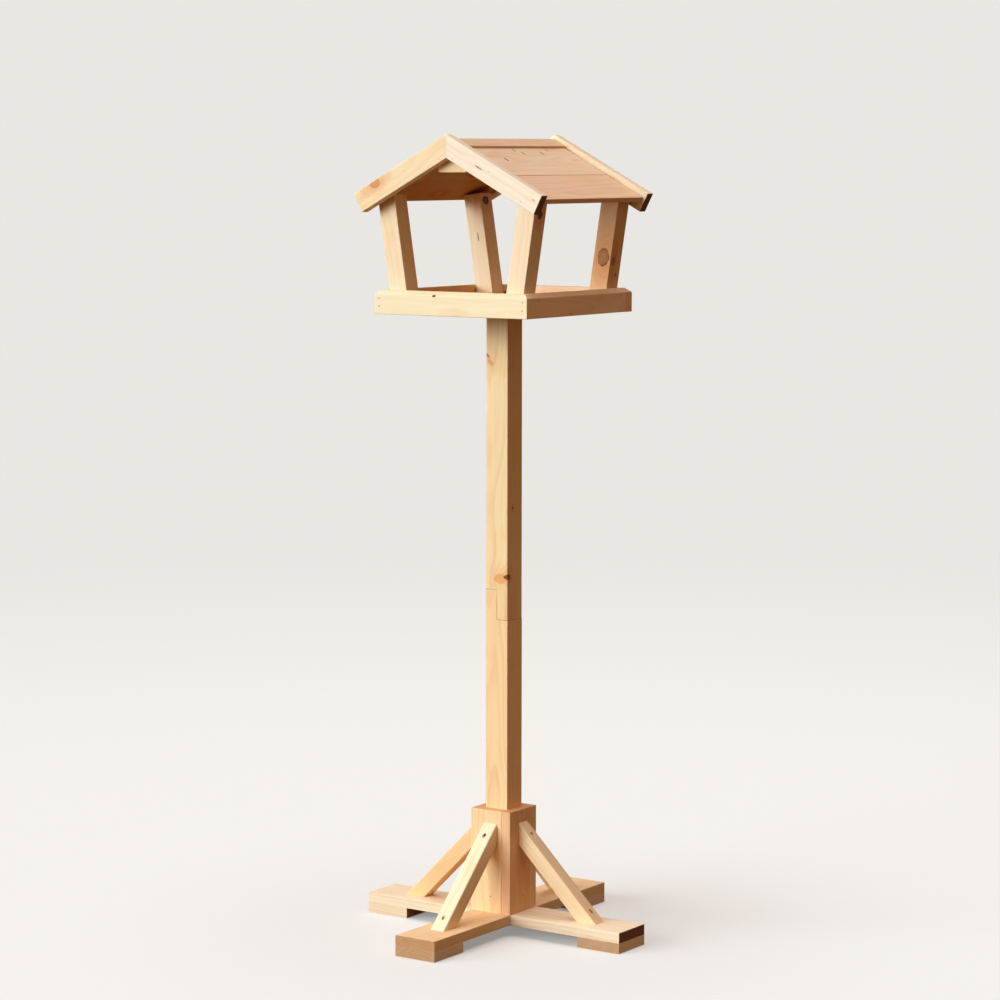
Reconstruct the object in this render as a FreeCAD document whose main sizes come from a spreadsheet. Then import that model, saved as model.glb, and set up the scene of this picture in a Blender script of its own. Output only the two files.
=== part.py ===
"""A wooden bird table: a rimmed tray on a square post with a braced cross foot, under a pitched roof.

Millimetres. +Z is up, and the origin is on the ground under the middle of the post.
The gables face -Y (the front) and +Y, and the ridge runs along Y.
"""
import FreeCAD, Part
import os
import re

import Sketcher

# Driving dimensions. Lengths are in millimetres and angles in degrees.
SIZES = {
    # Clearances
    "fit_gap": 0.3,
    "hole_gap": 0.1,
    # Cross foot: two halved boards on four pads
    "foot_length": 527.0,
    "foot_width": 81.0,
    "foot_thick": 18.0,
    "pad_length": 84.0,
    "pad_thick": 18.0,
    # Socket box round the foot of the post
    "socket_thick": 18.0,
    "socket_height": 179.8,
    # Diagonal braces, measured along the socket box and along the foot
    "brace_width": 28.0,
    "brace_depth": 28.0,
    "brace_reach": 159.2,
    "brace_rise": 157.4,
    # Post in two lengths with a half lap
    "post_side": 45.0,
    "lower_post_shoulder": 509.5,
    "lap_length": 53.0,
    "upper_post_length": 543.0,
    # Tray
    "tray_width": 310.0,
    "tray_depth": 324.0,
    "rim_height": 41.0,
    "rim_thick": 18.0,
    "rim_bevel_across": 9.0,
    "rim_bevel_down": 7.0,
    "floor_thick": 9.0,
    "floor_drop": 16.0,
    "floor_seam": 2.0,
    "bearer_thick": 18.0,
    # Corner posts, leaning out to the left and right
    "corner_side": 35.0,
    "corner_splay": 9.0,
    # Roof, with its rise measured from the tray's rim to the ridge
    "roof_rise": 261.0,
    "roof_pitch": 27.6,
    "barge_length": 215.0,
    "barge_width": 35.0,
    "barge_thick": 18.0,
    "rafter_thick": 10.0,
    "rafter_depth": 12.0,
    "rafter_past_post": 2.0,
    "roof_board_thick": 9.0,
    "roof_board_drop": 9.8,
    "roof_seam": 1.0,
    "roof_end_gap": 1.0,
    "upper_board_width": 127.0,
    "eave_setback": 5.0,
    "strip_width": 30.0,
    "strip_thick": 4.0,
    "ridge_beam_width": 56.0,
    "ridge_beam_height": 35.0,
    "ridge_beam_bevel": 8.0,
    # Screws
    "screw_shank": 3.5,
    "screw_head": 6.5,
    "screw_taper": 2.5,
    "screw_sink": 3.0,
    "pad_screw_length": 28.0,
    "centre_screw_length": 50.0,
    "centre_screw_offset": 12.0,
    "brace_screw_inset": 27.0,
    "brace_screw_sink": 5.0,
    "brace_head_screw_length": 48.0,
    "brace_foot_screw_length": 28.0,
    "lap_screw_length": 34.0,
    "bearer_screw_length": 32.0,
    "corner_screw_length": 30.0,
    "corner_screw_sink": 0.3,
    # Pins
    "pin_shank": 1.6,
    "pin_head": 2.6,
    "pin_taper": 1.0,
    "pin_sink": 0.2,
    "socket_pin_length": 34.0,
    "socket_pin_height": 28.0,
    "rim_pin_length": 30.0,
    "rim_pin_spacing": 14.0,
    "floor_pin_length": 18.0,
    "bearer_pin_length": 35.0,
    "corner_pin_length": 35.0,
    "corner_pin_height": 4.0,
    "barge_pin_length": 38.0,
    "barge_pin_inset": 11.0,
    "roof_pin_length": 15.0,
    "roof_pin_inset": 12.0,
    "strip_pin_length": 19.0,
    "strip_pin_inset": 10.0,
}

# Levels and faces that follow from the driving dimensions.
WORKED_OUT = {
    "foot_top": "pad_thick + foot_thick",
    "foot_half_length": "foot_length / 2",
    "foot_half_width": "foot_width / 2",
    "halving": "pad_thick + foot_thick / 2",
    "post_half": "post_side / 2",
    "socket_inner": "post_half + fit_gap",
    "socket_outer": "socket_inner + socket_thick",
    "brace_length": "sqrt(brace_reach * brace_reach + brace_rise * brace_rise)",
    "brace_cut": "brace_depth * brace_length / (brace_reach * brace_rise)",
    "brace_screw_share": "brace_screw_inset / brace_length",
    "lap_bottom": "foot_top + lower_post_shoulder",
    "lap_top": "lap_bottom + lap_length",
    "post_top": "lap_bottom + upper_post_length",
    "floor_top": "post_top + floor_thick",
    "rim_top": "floor_top + floor_drop",
    "tray_base": "rim_top - rim_height",
    "tray_half_width": "tray_width / 2",
    "tray_half_depth": "tray_depth / 2",
    "inner_half_width": "tray_half_width - rim_thick",
    "inner_half_depth": "tray_half_depth - rim_thick",
    "floor_board_width": "(2 * inner_half_width - 2 * fit_gap - 2 * floor_seam) / 3",
    "floor_board_pitch": "floor_board_width + floor_seam",
    "bearer_height": "post_top - tray_base",
    "bearer_face": "post_half + bearer_thick",
    "splay": "corner_splay * 1 deg",
    "pitch": "roof_pitch * 1 deg",
    "ridge_top": "rim_top + roof_rise",
    "board_under": "roof_board_drop + roof_board_thick",
    "board_middle": "roof_board_drop + roof_board_thick / 2",
    "strip_drop": "roof_board_drop - strip_thick",
    "eave_edge": "barge_length - eave_setback",
    "rafter_under": "board_under + rafter_depth",
    "rafter_end": "corner_top_along + rafter_past_post",
    "barge_back": "inner_half_depth + rafter_thick",
    "barge_front": "barge_back + barge_thick",
    "ridge_depth": "2 * barge_back",
    "board_end": "barge_back - roof_end_gap",
    "board_depth": "2 * board_end",
    "beam_half": "ridge_beam_width / 2",
    "roof_pin_tip": "roof_board_drop + pin_sink + roof_pin_length",
    # The highest roof pins go into the rafters beside the ridge beam, and their tips stay clear of it.
    "highest_roof_pin": "(beam_half + roof_pin_tip * sin(pitch)) / cos(pitch) + roof_pin_inset / 2",
    "corner_across": "corner_side / cos(splay)",
    "corner_middle_depth": "inner_half_depth - corner_side / 2",
    # A corner post's outer face leans through the side rim's inner edge, up to the roof boards.
    "corner_lean": "inner_half_width - rim_top * tan(splay)",
    "corner_foot_x": "corner_lean + floor_top * tan(splay)",
    "board_under_ridge": "ridge_top - board_under / cos(pitch) - fit_gap",
    "corner_top_z": "(board_under_ridge - tan(pitch) * corner_lean) / (1 + tan(pitch) * tan(splay))",
    "corner_top_x": "corner_lean + corner_top_z * tan(splay)",
    "corner_top_along": "(corner_top_x + board_under * sin(pitch)) / cos(pitch)",
}

# Quarter turns about the post, counted from the right side, and the sides that they reach.
RIGHT, BACK, LEFT, FRONT = range(4)
SIDES = {RIGHT: "right", BACK: "back", LEFT: "left", FRONT: "front"}

doc = FreeCAD.newDocument("bird_table")
sheet = doc.addObject("Spreadsheet::Sheet", "Sizes")
for row, (alias, size) in enumerate(SIZES.items(), 1):
    sheet.set(f"A{row}", alias)
    sheet.set(f"B{row}", str(size))
    sheet.setAlias(f"B{row}", alias)
doc.recompute()


def formula(text):
    """Write a formula of named sizes as an expression on the sheet's cells."""
    def cell(match):
        word = match.group()
        if word in WORKED_OUT:
            return f"({formula(WORKED_OUT[word])})"
        return f"Sizes.{word}" if word in SIZES else word
    return re.sub(r"[a-z_]+", cell, str(text))


def value(text):
    """Work out a formula of named sizes as a number."""
    result = sheet.evalExpression(formula(text))
    return float(getattr(result, "Value", result))


def turned(x, y, turn):
    """Carry a place on the right side round the post by quarter turns."""
    return {RIGHT: (x, y), BACK: (f"-({y})", x), LEFT: (f"-({x})", f"-({y})"), FRONT: (y, f"-({x})")}[turn]


def on_slope(along, under):
    """A place in a right-hand gable: down the slope from the ridge, and square under the barge tops."""
    x = f"({along}) * cos(pitch) - ({under}) * sin(pitch)"
    z = f"ridge_top - ({along}) * sin(pitch) - ({under}) * cos(pitch)"
    return x, z


def below_slope(x, under):
    """The height of the line that lies square under the barge tops, at a distance from the ridge."""
    return f"ridge_top - ({x}) * tan(pitch) - ({under}) / cos(pitch)"


def outline(body, plane, points):
    """A closed sketch of straight edges with each corner held at its formulas."""
    sketch = body.newObject("Sketcher::SketchObject", f"{body.Name}_outline_{plane}")
    origin = next(part for part in body.Origin.OriginFeatures if part.Role == f"{plane}_Plane")
    sketch.AttachmentSupport = [(origin, "")]
    sketch.MapMode = "FlatFace"
    corners = [FreeCAD.Vector(value(across), value(up), 0) for across, up in points]
    for start, end in zip(corners, corners[1:] + corners[:1]):
        sketch.addGeometry(Part.LineSegment(start, end))
    for edge in range(len(points)):
        sketch.addConstraint(Sketcher.Constraint("Coincident", edge, 2, (edge + 1) % len(points), 1))
    for edge, place in enumerate(points):
        for kind, distance in zip(("DistanceX", "DistanceY"), place):
            held = sketch.addConstraint(Sketcher.Constraint(kind, edge, 1, value(distance)))
            sketch.setExpression(f"Constraints[{held}]", formula(distance))
    return sketch


def pad(name, plane, points, start, thickness):
    """A straight piece: an outline in the XZ or YZ plane, padded along the third axis from a start."""
    body = doc.addObject("PartDesign::Body", name)
    sketch = outline(body, plane, points)
    # The normal of the XZ plane points along -Y, so its outline starts at the far side.
    offset = f"-({start}) - ({thickness})" if plane == "XZ" else start
    sketch.setExpression("AttachmentOffset.Base.z", formula(offset))
    feature = body.newObject("PartDesign::Pad", f"{name}_pad")
    feature.Profile = sketch
    feature.setExpression("Length", formula(thickness))
    return body


def board(name, corner, size, turn=RIGHT):
    """A plain board from its lowest corner, both given on the right side and carried round."""
    box = doc.addObject("Part::Box", name)
    for side, length in zip(("Length", "Width", "Height"), size):
        box.setExpression(side, formula(length))
    box.Placement = FreeCAD.Placement(FreeCAD.Vector(), FreeCAD.Rotation(90 * turn, 0, 0))
    x, y = turned(corner[0], corner[1], turn)
    for axis, place in zip("xyz", (x, y, corner[2])):
        box.setExpression(f"Placement.Base.{axis}", formula(place))
    return box


pieces = {}
holes = {}
groups = {}


def add_piece(name, stock, turn=RIGHT):
    """Enter a piece under its name, carried round the post by quarter turns."""
    if turn:
        stock.Placement = FreeCAD.Placement(FreeCAD.Vector(), FreeCAD.Rotation(90 * turn, 0, 0))
    pieces[name] = stock
    holes[name] = []


# Cross foot
def foot_board(name, plane, notch_level, far_level):
    """One foot board, cut half through where the other one crosses it."""
    notch = "foot_half_width + fit_gap"
    points = [
        ("-foot_half_length", far_level),
        ("foot_half_length", far_level),
        ("foot_half_length", notch_level),
        (notch, notch_level),
        (notch, "halving"),
        (f"-({notch})", "halving"),
        (f"-({notch})", notch_level),
        ("-foot_half_length", notch_level),
    ]
    add_piece(name, pad(name + "_stock", plane, points, "-foot_half_width", "foot_width"))


foot_board("foot_board_across", "XZ", "foot_top", "pad_thick")
foot_board("foot_board_along", "YZ", "pad_thick", "foot_top")
for turn, side in SIDES.items():
    pad_corner = ("foot_half_length - pad_length", "-foot_half_width", "0")
    pad_size = ("pad_length", "foot_width", "pad_thick")
    add_piece(f"foot_pad_{side}", board(f"foot_pad_{side}_stock", pad_corner, pad_size, turn))

# Socket box: each board covers one face of the post and the edge of the board before it
for turn, side in SIDES.items():
    socket_corner = ("socket_inner", "-socket_outer", "foot_top")
    socket_size = ("socket_thick", "socket_outer + socket_inner", "socket_height")
    add_piece(f"socket_board_{side}", board(f"socket_board_{side}_stock", socket_corner, socket_size, turn))

# Braces, with mitred ends on the socket box and on the foot
for turn, side in SIDES.items():
    brace_outline = [
        ("socket_outer", "foot_top + brace_rise"),
        ("socket_outer", "foot_top + brace_rise * (1 - brace_cut)"),
        ("socket_outer + brace_reach * (1 - brace_cut)", "foot_top"),
        ("socket_outer + brace_reach", "foot_top"),
    ]
    brace = pad(f"brace_{side}_stock", "XZ", brace_outline, "-brace_width / 2", "brace_width")
    add_piece(f"brace_{side}", brace, turn)

# Post: the lower length keeps its left half in the lap, the upper one its right half
lower_post_outline = [
    ("-post_half", "foot_top"),
    ("post_half", "foot_top"),
    ("post_half", "lap_bottom"),
    ("0", "lap_bottom"),
    ("0", "lap_top"),
    ("-post_half", "lap_top"),
]
upper_post_outline = [
    ("0", "lap_bottom"),
    ("post_half", "lap_bottom"),
    ("post_half", "post_top"),
    ("-post_half", "post_top"),
    ("-post_half", "lap_top"),
    ("0", "lap_top"),
]
add_piece("lower_post", pad("lower_post_stock", "XZ", lower_post_outline, "-post_half", "post_side"))
add_piece("upper_post", pad("upper_post_stock", "XZ", upper_post_outline, "-post_half", "post_side"))


# Tray
def rim_section(outer, inner):
    """The section of a rim board, bevelled along its outer top edge."""
    return [
        (outer, "tray_base"),
        (inner, "tray_base"),
        (inner, "rim_top"),
        (f"{outer} - rim_bevel_across", "rim_top"),
        (outer, "rim_top - rim_bevel_down"),
    ]


for turn in (FRONT, BACK):
    name = f"rim_{SIDES[turn]}"
    # The section runs along the board, and the end bevels are cut across it.
    section = pad(name + "_section", "XZ", rim_section("tray_half_depth", "inner_half_depth"),
                  "-tray_half_width", "tray_width")
    ends = [
        ("-tray_half_width", "tray_base"),
        ("tray_half_width", "tray_base"),
        ("tray_half_width", "rim_top - rim_bevel_down"),
        ("tray_half_width - rim_bevel_across", "rim_top"),
        ("-(tray_half_width - rim_bevel_across)", "rim_top"),
        ("-tray_half_width", "rim_top - rim_bevel_down"),
    ]
    length = pad(name + "_length", "YZ", ends, "inner_half_depth", "rim_thick")
    rim = doc.addObject("Part::Common", name + "_stock")
    rim.Base = section
    rim.Tool = length
    add_piece(name, rim, turn)
for turn in (RIGHT, LEFT):
    name = f"rim_{SIDES[turn]}"
    rim = pad(name + "_stock", "XZ", rim_section("tray_half_width", "inner_half_width"),
              "-inner_half_depth", "2 * inner_half_depth")
    add_piece(name, rim, turn)

FLOOR_BOARDS = {"left": -1, "middle": 0, "right": 1}
for side, place in FLOOR_BOARDS.items():
    name = f"floor_board_{side}"
    floor_corner = (f"{place} * floor_board_pitch - floor_board_width / 2", "-(inner_half_depth - fit_gap)",
                    "post_top")
    floor_size = ("floor_board_width", "2 * (inner_half_depth - fit_gap)", "floor_thick")
    add_piece(name, board(name + "_stock", floor_corner, floor_size))
for turn in (FRONT, BACK):
    name = f"tray_bearer_{SIDES[turn]}"
    bearer_corner = ("post_half", "-inner_half_width", "tray_base")
    bearer_size = ("bearer_thick", "2 * inner_half_width", "bearer_height")
    add_piece(name, board(name + "_stock", bearer_corner, bearer_size, turn))

# Corner posts: their feet are cut level on the floor, and their tops square under the roof boards
CORNERS = {
    "front_right": (1, -1),
    "front_left": (-1, -1),
    "back_right": (1, 1),
    "back_left": (-1, 1),
}
for corner, (hand, end) in CORNERS.items():
    points = [
        (f"{hand} * corner_foot_x", "floor_top"),
        (f"{hand} * (corner_foot_x - corner_across)", "floor_top"),
        (f"{hand} * (corner_top_x - corner_side * cos(splay))", "corner_top_z + corner_side * sin(splay)"),
        (f"{hand} * corner_top_x", "corner_top_z"),
    ]
    start = "-inner_half_depth" if end < 0 else "inner_half_depth - corner_side"
    name = f"corner_post_{corner}"
    add_piece(name, pad(name + "_stock", "XZ", points, start, "corner_side"))


# Roof
def slope_piece(name, hand, points, start, depth):
    """A piece of one roof slope, drawn on the right-hand slope and mirrored on the left."""
    mirrored = [(f"{hand} * ({x})", z) for x, z in points]
    add_piece(name, pad(name + "_stock", "XZ", mirrored, start, depth))


def ridge_to(along, top, under):
    """The outline of a board from the plumb joint at the ridge down to a square edge."""
    return [
        ("0", below_slope("0", top)),
        on_slope(along, top),
        on_slope(along, under),
        ("0", below_slope("0", under)),
    ]


beam_side_top = below_slope("beam_half", "board_under")
beam_top = f"{beam_side_top} + ridge_beam_bevel"
beam_flat = "beam_half - ridge_beam_bevel / tan(pitch)"
beam_outline = [
    ("-beam_half", f"{beam_top} - ridge_beam_height"),
    ("beam_half", f"{beam_top} - ridge_beam_height"),
    ("beam_half", beam_side_top),
    (beam_flat, beam_top),
    (f"-({beam_flat})", beam_top),
    ("-beam_half", beam_side_top),
]
add_piece("ridge_beam", pad("ridge_beam_stock", "XZ", beam_outline, "-barge_back", "ridge_depth"))

for corner, (hand, end) in CORNERS.items():
    barge_start = "-barge_front" if end < 0 else "barge_back"
    slope_piece(f"barge_board_{corner}", hand, ridge_to("barge_length", "0", "barge_width"),
                barge_start, "barge_thick")
    rafter_outline = [
        ("beam_half", beam_side_top),
        on_slope("rafter_end", "board_under"),
        on_slope("rafter_end", "rafter_under"),
        ("beam_half", below_slope("beam_half", "rafter_under")),
    ]
    rafter_start = "-barge_back" if end < 0 else "inner_half_depth"
    slope_piece(f"gable_rafter_{corner}", hand, rafter_outline, rafter_start, "rafter_thick")

HANDS = {"right": 1, "left": -1}
eave_outline = [
    on_slope("upper_board_width + roof_seam", "roof_board_drop"),
    on_slope("eave_edge", "roof_board_drop"),
    on_slope("eave_edge", "board_under"),
    on_slope("upper_board_width + roof_seam", "board_under"),
]
upper_outline = ridge_to("upper_board_width", "roof_board_drop", "board_under")
strip_outline = ridge_to("strip_width", "strip_drop", "roof_board_drop")
for side, hand in HANDS.items():
    slope_piece(f"roof_board_upper_{side}", hand, upper_outline, "-board_end", "board_depth")
    slope_piece(f"roof_board_eave_{side}", hand, eave_outline, "-board_end", "board_depth")
    slope_piece(f"ridge_strip_{side}", hand, strip_outline, "-barge_back", "ridge_depth")


# Fasteners
def turned_solid(name, points):
    """A round solid about its own Z axis, which its outline meets at both ends."""
    body = doc.addObject("PartDesign::Body", name)
    sketch = outline(body, "XZ", points)
    feature = body.newObject("PartDesign::Revolution", f"{name}_turn")
    feature.Profile = sketch
    feature.ReferenceAxis = (sketch, ["V_Axis"])
    return body


def fastener_group(name, kind, length):
    """A group of like screws or pins: one to copy, pointing down, and the hole that it sits in."""
    radius = f"{kind}_shank / 2"
    head = f"{kind}_head / 2"
    fastener = [
        ("0", "0"),
        (head, "0"),
        (radius, f"-{kind}_taper"),
        (radius, f"{kind}_shank - {length}"),
        ("0", f"-{length}"),
    ]
    # The hole goes on above the head, out through the wood that the head is sunk in.
    mouth = "3 * screw_head"
    hole = [
        ("0", mouth),
        (f"{head} + hole_gap", mouth),
        (f"{head} + hole_gap", "0"),
        (f"{radius} + hole_gap", f"-{kind}_taper"),
        (f"{radius} + hole_gap", f"-{length} - hole_gap"),
        ("0", f"-{length} - hole_gap"),
    ]
    groups[name] = {
        "fastener": turned_solid(name + "_one", fastener),
        "hole": turned_solid(name + "_hole", hole),
        "copies": [],
    }


def copy_at(original, head, turn, tilt):
    """A linked copy of a fastener or its hole, set where drive() says."""
    hinge = FreeCAD.Rotation(90 * turn, 0, 0).multVec(FreeCAD.Vector(0, 1, 0))
    copy = doc.addObject("App::Link", f"{original.Name}_copy")
    copy.LinkedObject = original
    copy.Placement = FreeCAD.Placement(FreeCAD.Vector(), FreeCAD.Rotation(hinge, value(tilt)))
    copy.setExpression("Placement.Rotation.Angle", formula(tilt))
    x, y = turned(head[0], head[1], turn)
    for axis, place in zip("xyz", (x, y, head[2])):
        copy.setExpression(f"Placement.Base.{axis}", formula(place))
    return copy


def drive(group, head, turn, tilt, through):
    """Drive one fastener of a group through pieces.

    The middle of its head is given on the right side and carried round by quarter turns. Its tilt says
    how far it is turned from pointing down.
    """
    groups[group]["copies"].append(copy_at(groups[group]["fastener"], head, turn, tilt))
    hole = copy_at(groups[group]["hole"], head, turn, tilt)
    for name in through:
        holes[name].append(hole)


DOWN = "0"
IN = "90"
UP = "180"
SQUARE_TO_ROOF = "roof_pitch"

fastener_group("pad_screws", "screw", "pad_screw_length")
for turn, side in SIDES.items():
    foot = "foot_board_across" if turn in (RIGHT, LEFT) else "foot_board_along"
    for place in (-1, 1):
        head = ("foot_half_length - pad_length / 2", f"{place} * foot_width / 4", "screw_sink")
        drive("pad_screws", head, turn, UP, [f"foot_pad_{side}", foot])

fastener_group("foot_centre_screws", "screw", "centre_screw_length")
for turn in (RIGHT, LEFT):
    head = ("centre_screw_offset", "centre_screw_offset", "pad_thick + screw_sink")
    drive("foot_centre_screws", head, turn, UP, ["foot_board_across", "foot_board_along", "lower_post"])

fastener_group("socket_pins", "pin", "socket_pin_length")
fastener_group("brace_head_screws", "screw", "brace_head_screw_length")
fastener_group("brace_foot_screws", "screw", "brace_foot_screw_length")
for turn, side in SIDES.items():
    foot = "foot_board_across" if turn in (RIGHT, LEFT) else "foot_board_along"
    head = ("socket_outer - pin_sink", "0", "foot_top + socket_pin_height")
    drive("socket_pins", head, turn, IN, [f"socket_board_{side}", "lower_post"])
    head = ("socket_outer + brace_reach * brace_screw_share - brace_screw_sink", "0",
            "foot_top + brace_rise * (1 - brace_screw_share)")
    drive("brace_head_screws", head, turn, IN, [f"brace_{side}", f"socket_board_{side}", "lower_post"])
    head = ("socket_outer + brace_reach * (1 - brace_screw_share)", "0",
            "foot_top + brace_rise * brace_screw_share - brace_screw_sink")
    drive("brace_foot_screws", head, turn, DOWN, [f"brace_{side}", foot])

fastener_group("lap_screws", "screw", "lap_screw_length")
for place in (-1, 1):
    head = ("post_half - screw_sink", "0", f"(lap_bottom + lap_top) / 2 + {place} * lap_length / 4")
    drive("lap_screws", head, LEFT, IN, ["lower_post", "upper_post"])

fastener_group("rim_pins", "pin", "rim_pin_length")
for turn in (FRONT, BACK):
    for hand in (-1, 1):
        # Carried round to the back, a place along the rim changes hands.
        end_rim = "rim_right" if (hand > 0) == (turn == FRONT) else "rim_left"
        for place in (-1, 1):
            head = ("tray_half_depth - pin_sink", f"{hand} * (tray_half_width - rim_thick / 2)",
                    f"tray_base + rim_height / 2 + {place} * rim_pin_spacing / 2")
            drive("rim_pins", head, turn, IN, [f"rim_{SIDES[turn]}", end_rim])

fastener_group("floor_pins", "pin", "floor_pin_length")
for side, place in FLOOR_BOARDS.items():
    for turn in (FRONT, BACK):
        # Carried round to the back, a place along the bearer changes hands.
        along = place if turn == FRONT else -place
        for hand in (-1, 1):
            head = ("post_half + bearer_thick / 2",
                    f"{along} * floor_board_pitch + {hand} * floor_board_width / 4", "floor_top - pin_sink")
            drive("floor_pins", head, turn, DOWN, [f"floor_board_{side}", f"tray_bearer_{SIDES[turn]}"])

fastener_group("bearer_pins", "pin", "bearer_pin_length")
for turn in (RIGHT, LEFT):
    for hand in (-1, 1):
        bearer = "tray_bearer_back" if (hand > 0) == (turn == RIGHT) else "tray_bearer_front"
        head = ("tray_half_width - pin_sink", f"{hand} * (post_half + bearer_thick / 2)",
                "tray_base + bearer_height / 4")
        drive("bearer_pins", head, turn, IN, [f"rim_{SIDES[turn]}", bearer])

fastener_group("bearer_screws", "screw", "bearer_screw_length")
for turn in (FRONT, BACK):
    for hand in (-1, 1):
        head = ("bearer_face - screw_sink", f"{hand} * post_side / 4", "tray_base + bearer_height / 2")
        drive("bearer_screws", head, turn, IN, [f"tray_bearer_{SIDES[turn]}", "upper_post"])

fastener_group("corner_pins", "pin", "corner_pin_length")
fastener_group("corner_screws", "screw", "corner_screw_length")
for corner, (hand, end) in CORNERS.items():
    turn = RIGHT if hand > 0 else LEFT
    along = hand * end
    head = ("tray_half_width - pin_sink", f"{along} * corner_middle_depth", "floor_top + corner_pin_height")
    drive("corner_pins", head, turn, IN, [f"rim_{SIDES[turn]}", f"corner_post_{corner}"])
    # The screw stands beside the pin, nearer to the middle of the tray.
    head = ("corner_foot_x - corner_across / 2", f"{along} * (corner_middle_depth - corner_side / 6)",
            "post_top + corner_screw_sink")
    drive("corner_screws", head, turn, UP, [f"floor_board_{SIDES[turn]}", f"corner_post_{corner}"])

fastener_group("barge_pins", "pin", "barge_pin_length")
for corner, (hand, end) in CORNERS.items():
    turn = FRONT if end < 0 else BACK
    across = -hand * end
    eave_x, eave_z = on_slope("barge_length - barge_pin_inset", "board_middle")
    upper_x, upper_z = on_slope("upper_board_width - 2 * barge_pin_inset", "board_middle")
    rafter_line = "board_under + rafter_depth * 3 / 4"
    post_x = "corner_top_x - corner_side / 3"
    barge_pins = [
        (eave_x, eave_z, f"roof_board_eave_{SIDES[RIGHT if hand > 0 else LEFT]}"),
        (upper_x, upper_z, f"roof_board_upper_{SIDES[RIGHT if hand > 0 else LEFT]}"),
        ("beam_half / 2", below_slope("beam_half / 2", "barge_width - barge_pin_inset / 2"), "ridge_beam"),
        (post_x, below_slope(post_x, rafter_line), f"corner_post_{corner}"),
    ]
    for x, z, behind in barge_pins:
        through = [f"barge_board_{corner}", f"gable_rafter_{corner}", behind]
        drive("barge_pins", ("barge_front - pin_sink", f"{across} * ({x})", z), turn, IN, through)

fastener_group("roof_pins", "pin", "roof_pin_length")
fastener_group("strip_pins", "pin", "strip_pin_length")
for side, hand in HANDS.items():
    turn = RIGHT if hand > 0 else LEFT
    for end in (-1, 1):
        rafter = f"gable_rafter_{'front' if hand * end < 0 else 'back'}_{side}"
        roof_pins = [
            ("highest_roof_pin", f"roof_board_upper_{side}"),
            ("upper_board_width - roof_pin_inset", f"roof_board_upper_{side}"),
            ("upper_board_width + roof_seam + roof_pin_inset", f"roof_board_eave_{side}"),
            ("rafter_end - rafter_depth / 2", f"roof_board_eave_{side}"),
        ]
        for along, roof_board in roof_pins:
            x, z = on_slope(along, "roof_board_drop + pin_sink")
            head = (x, f"{end} * (barge_back - rafter_thick / 2)", z)
            drive("roof_pins", head, turn, SQUARE_TO_ROOF, [roof_board, rafter])
    for place in (-1, 0, 1):
        x, z = on_slope("strip_width - strip_pin_inset", "strip_drop + pin_sink")
        head = (x, f"{place} * (barge_back * 3 / 4)", z)
        drive("strip_pins", head, turn, SQUARE_TO_ROOF,
              [f"ridge_strip_{side}", f"roof_board_upper_{side}", "ridge_beam"])

# Each piece is its stock less the holes of what is driven through it
nodes = []
for name, stock in pieces.items():
    node = stock
    if holes[name]:
        drilled = doc.addObject("Part::Compound", f"{name}_holes")
        drilled.Links = holes[name]
        node = doc.addObject("Part::Cut", f"{name}_drilled")
        node.Base = stock
        node.Tool = drilled
    node.Label = name
    nodes.append(node)
for name, group in groups.items():
    node = doc.addObject("Part::Compound", f"{name}_set")
    node.Links = group["copies"]
    node.Label = name
    nodes.append(node)

doc.recompute()

for item in doc.Objects:
    failed = [state for state in item.State if state in ("Invalid", "Error")]
    if failed:
        raise RuntimeError(f"{item.Label} is {failed[0]}")
for node in nodes:
    if node.Shape.isNull() or not node.Shape.isValid():
        raise RuntimeError(f"{node.Label} has no valid shape")

os.makedirs("parts", exist_ok=True)
for node in nodes:
    node.Shape.exportStep(f"parts/{node.Label}.step")
print(len(nodes), "nodes,", sum(len(node.Shape.Solids) for node in nodes), "solids")
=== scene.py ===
"""The look of the bird table: timbers with eased long arrises and procedural pine, on a pale floor.

Blender units are metres. Lengths in the tables below are millimetres, in the same frame as the part:
+Z is up, the origin is on the ground under the middle of the post, and the gables face -Y and +Y.
"""
import math

import bmesh
import bpy
from mathutils import Matrix, Vector, noise


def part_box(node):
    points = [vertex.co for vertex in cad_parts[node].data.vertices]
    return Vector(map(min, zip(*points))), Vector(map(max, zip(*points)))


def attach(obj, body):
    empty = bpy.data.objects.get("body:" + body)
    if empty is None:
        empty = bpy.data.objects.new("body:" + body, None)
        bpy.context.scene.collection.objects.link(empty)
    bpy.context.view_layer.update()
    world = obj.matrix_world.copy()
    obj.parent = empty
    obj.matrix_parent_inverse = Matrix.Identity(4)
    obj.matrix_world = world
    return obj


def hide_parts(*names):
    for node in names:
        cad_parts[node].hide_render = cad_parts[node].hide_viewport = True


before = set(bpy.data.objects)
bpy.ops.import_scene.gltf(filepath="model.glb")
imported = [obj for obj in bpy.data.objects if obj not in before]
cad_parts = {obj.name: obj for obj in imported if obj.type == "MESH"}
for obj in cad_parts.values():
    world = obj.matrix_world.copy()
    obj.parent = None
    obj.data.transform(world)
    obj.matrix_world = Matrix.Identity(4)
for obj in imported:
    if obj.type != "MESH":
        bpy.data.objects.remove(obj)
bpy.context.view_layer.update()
bpy.context.scene.view_settings.view_transform = "Standard"

MM = 0.001
ROOF_PITCH = math.radians(27.6)
CORNER_SPLAY = math.radians(9.0)
BRACE_SLOPE = math.atan2(157.4, 159.2)
X, Y, Z = Vector((1, 0, 0)), Vector((0, 1, 0)), Vector((0, 0, 1))


def linear(red, green, blue):
    """A colour given as screen values from 0 to 255, as the linear levels that a shader takes."""
    def level(value):
        value /= 255
        return value / 12.92 if value <= 0.04045 else ((value + 0.055) / 1.055) ** 2.4
    return level(red), level(green), level(blue)


def srgb(red, green, blue):
    """The same with full opacity, as a colour socket takes it."""
    return (*linear(red, green, blue), 1.0)


# Node trees

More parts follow.
